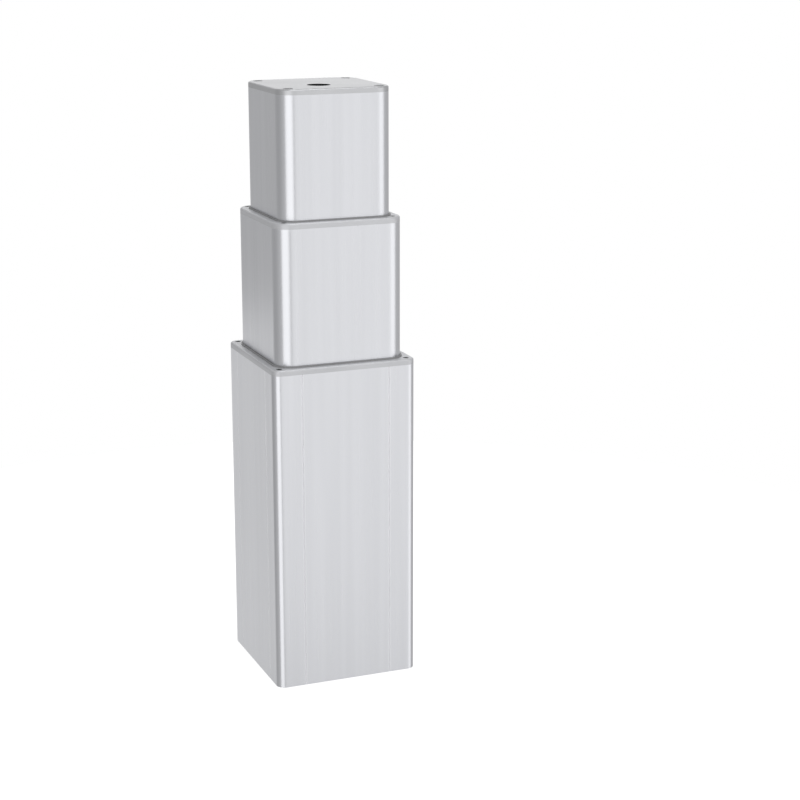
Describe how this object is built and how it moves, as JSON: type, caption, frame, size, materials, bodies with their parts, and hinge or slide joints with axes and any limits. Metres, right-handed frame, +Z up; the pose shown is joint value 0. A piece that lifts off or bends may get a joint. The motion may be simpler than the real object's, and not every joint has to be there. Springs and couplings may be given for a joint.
{
  "type": "electric lifting column",
  "caption": "Square telescoping aluminium lifting column, shown run out, with motor, worm gearbox and coupled lifting screws inside.",
  "frame": {"origin": "centre of the column's foot, on the surface that it stands on", "axes": "+Z up along the column's axis of travel, front face towards -Y, motor behind the axis towards +X; drawn fully run out"},
  "size_m": [0.16, 0.16, 0.642],
  "materials": {
    "profile_aluminium": "satin, clear anodised, fine lines along the extrusion",
    "collar_aluminium": "fine satin",
    "plate_aluminium": "milled",
    "cast_housing": "cast, slightly rough",
    "black_screws": "black oxide",
    "zinc_screws": "zinc plated",
    "wiper_rubber": "matte",
    "glide_plastic": "matte",
    "bearing_steel": "ground",
    "screw_steel": "rolled, thin grease",
    "gear_steel": "machined",
    "bronze": "machined",
    "motor_steel": "nickel plated, drawn",
    "magnet_ferrite": "sintered, dull",
    "black_plastic": "moulded",
    "brush_plastic": "moulded",
    "armature_iron": "stacked sheets",
    "commutator_copper": "turned copper"
  },
  "bodies": {
    "outer_stage": {"outer_profile": "profile_aluminium", "base_plate": "plate_aluminium", "base_plate_screws": "zinc_screws", "outer_collar": "collar_aluminium", "outer_collar_screws": "black_screws", "outer_wiper": "wiper_rubber", "outer_glides": "glide_plastic", "gearbox_base": "cast_housing", "gearbox_tower": "cast_housing", "gearbox_cover": "cast_housing", "gearbox_screws": "zinc_screws", "gearbox_cover_screws": "zinc_screws", "worm_end_plug": "black_screws", "lower_screw_foot_bearing": "bearing_steel", "lower_screw_cover_bearing": "bearing_steel", "hex_shaft_foot_bearing": "bearing_steel", "hex_shaft_top_bearing": "bearing_steel", "worm_bearings": "bearing_steel", "motor_flange": "plate_aluminium", "motor_can": "motor_steel", "motor_magnets": "magnet_ferrite", "motor_end_cap": "black_plastic", "motor_bolts": "zinc_screws", "brush_holder": "brush_plastic"},
    "middle_stage": {"middle_profile": "profile_aluminium", "middle_collar": "collar_aluminium", "middle_collar_screws": "black_screws", "middle_wiper": "wiper_rubber", "middle_upper_glides": "glide_plastic", "middle_lower_glides": "glide_plastic", "middle_carrier": "plate_aluminium", "middle_carrier_screws": "zinc_screws", "lower_nut": "bronze", "upper_screw_bearing": "bearing_steel"},
    "inner_stage": {"inner_profile": "profile_aluminium", "top_plate": "collar_aluminium", "top_plate_screws": "black_screws", "inner_glides": "glide_plastic", "inner_carrier": "plate_aluminium", "inner_carrier_screws": "zinc_screws", "upper_nut": "bronze"},
    "motor_rotor": {"worm_shaft": "screw_steel", "armature": "armature_iron", "commutator": "commutator_copper"},
    "lower_screw_set": {"lower_screw": "screw_steel", "worm_wheel": "bronze", "drive_gear": "gear_steel"},
    "hex_shaft_set": {"hex_shaft": "screw_steel", "driven_gear": "gear_steel"},
    "upper_screw_set": {"upper_screw": "screw_steel", "upper_screw_hex_bush": "bronze"}
  },
  "joints": [
    {"name": "motor_spin", "type": "hinge", "parent": "outer_stage", "child": "motor_rotor", "pos_m": [0, 0.0375, 0.044], "axis": [1, 0, 0], "range_deg": [0, 126000]},
    {"name": "middle_slide", "type": "slide", "parent": "outer_stage", "child": "middle_stage", "axis": [0, 0, 1], "range_m": [-0.14, 0]},
    {"name": "inner_slide", "type": "slide", "parent": "middle_stage", "child": "inner_stage", "axis": [0, 0, 1], "range_m": [-0.1225, 0]},
    {"name": "lower_screw_spin", "type": "hinge", "parent": "outer_stage", "child": "lower_screw_set", "pos_m": [-0.02, 0, 0.1], "axis": [0, 0, 1], "range_deg": [0, 6300]},
    {"name": "hex_shaft_spin", "type": "hinge", "parent": "outer_stage", "child": "hex_shaft_set", "pos_m": [0.02, 0, 0.1], "axis": [0, 0, 1], "range_deg": [-6300, 0]},
    {"name": "upper_screw_spin", "type": "hinge", "parent": "middle_stage", "child": "upper_screw_set", "pos_m": [0.02, 0, 0.3], "axis": [0, 0, 1], "range_deg": [-6300, 0]}
  ],
  "couplings": [
    {"joint": "inner_slide", "follows": "middle_slide", "ratio": 0.875},
    {"joint": "motor_spin", "follows": "middle_slide", "rad_per_m": -15708},
    {"joint": "lower_screw_spin", "follows": "middle_slide", "rad_per_m": -785.4},
    {"joint": "hex_shaft_spin", "follows": "middle_slide", "rad_per_m": 785.4},
    {"joint": "upper_screw_spin", "follows": "middle_slide", "rad_per_m": 785.4}
  ]
}
